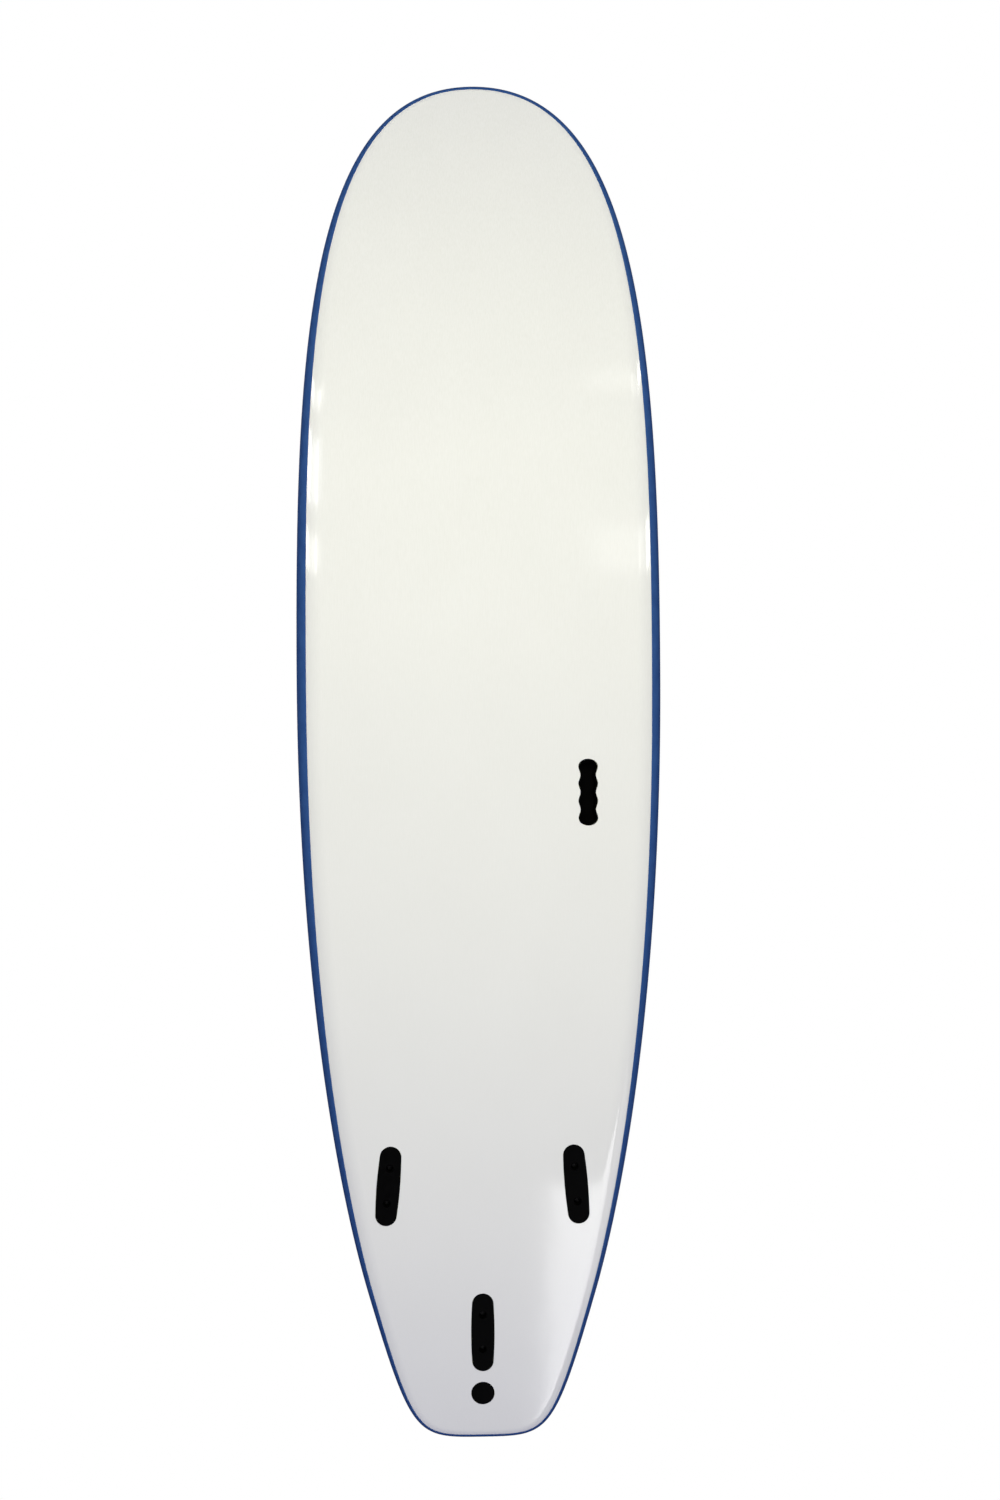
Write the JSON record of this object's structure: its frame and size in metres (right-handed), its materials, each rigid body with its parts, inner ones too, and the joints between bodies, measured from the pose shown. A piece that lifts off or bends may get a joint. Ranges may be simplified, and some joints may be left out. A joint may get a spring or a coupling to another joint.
{
  "type": "soft-top surfboard",
  "caption": "Soft-top mini-mal surfboard with a hard white bottom, foam deck and rails, plywood stringers, fin plates without fins, a finger-grip carry handle and a leash plug.",
  "frame": {"origin": "on the centreline, half way along the board, at the height of the flat middle of the bottom", "axes": "+X towards the nose, +Y towards the rider's left, +Z out of the deck"},
  "size_m": [2.134, 0.566, 0.1372],
  "materials": {
    "slick": "satin smooth HDPE sheet",
    "underlay": "thin closed-cell foam",
    "rail_foam": "soft closed-cell foam skin, deep blue",
    "deck_foam": "embossed soft closed-cell foam, blue",
    "blank": "beaded expanded polystyrene",
    "plywood": "bare plywood",
    "nylon": "moulded black nylon, fine texture; the fin screws too",
    "sleeve": "extruded grey plastic tube",
    "steel": "stainless"
  },
  "bodies": {
    "root": {"bottom_slick": "slick", "bottom_foam": "underlay", "deck_skin": "deck_foam", "rail_left": "rail_foam", "rail_right": "rail_foam", "core_left": "blank", "core_centre": "blank", "core_right": "blank", "stringer_left": "plywood", "stringer_right": "plywood", "fin_plate_left": "nylon", "fin_sleeve_left_front": "sleeve", "fin_screw_left_front": "nylon", "deck_washer_left_front": "nylon", "fin_sleeve_left_rear": "sleeve", "fin_screw_left_rear": "nylon", "deck_washer_left_rear": "nylon", "fin_plate_right": "nylon", "fin_sleeve_right_front": "sleeve", "fin_screw_right_front": "nylon", "deck_washer_right_front": "nylon", "fin_sleeve_right_rear": "sleeve", "fin_screw_right_rear": "nylon", "deck_washer_right_rear": "nylon", "fin_plate_centre": "nylon", "fin_sleeve_centre_front": "sleeve", "fin_screw_centre_front": "nylon", "deck_washer_centre_front": "nylon", "fin_sleeve_centre_rear": "sleeve", "fin_screw_centre_rear": "nylon", "deck_washer_centre_rear": "nylon", "handle_cup": "nylon", "leash_cup": "nylon", "leash_bar": "steel", "leash_screw": "steel", "leash_cap": "nylon"}
  },
  "joints": []
}
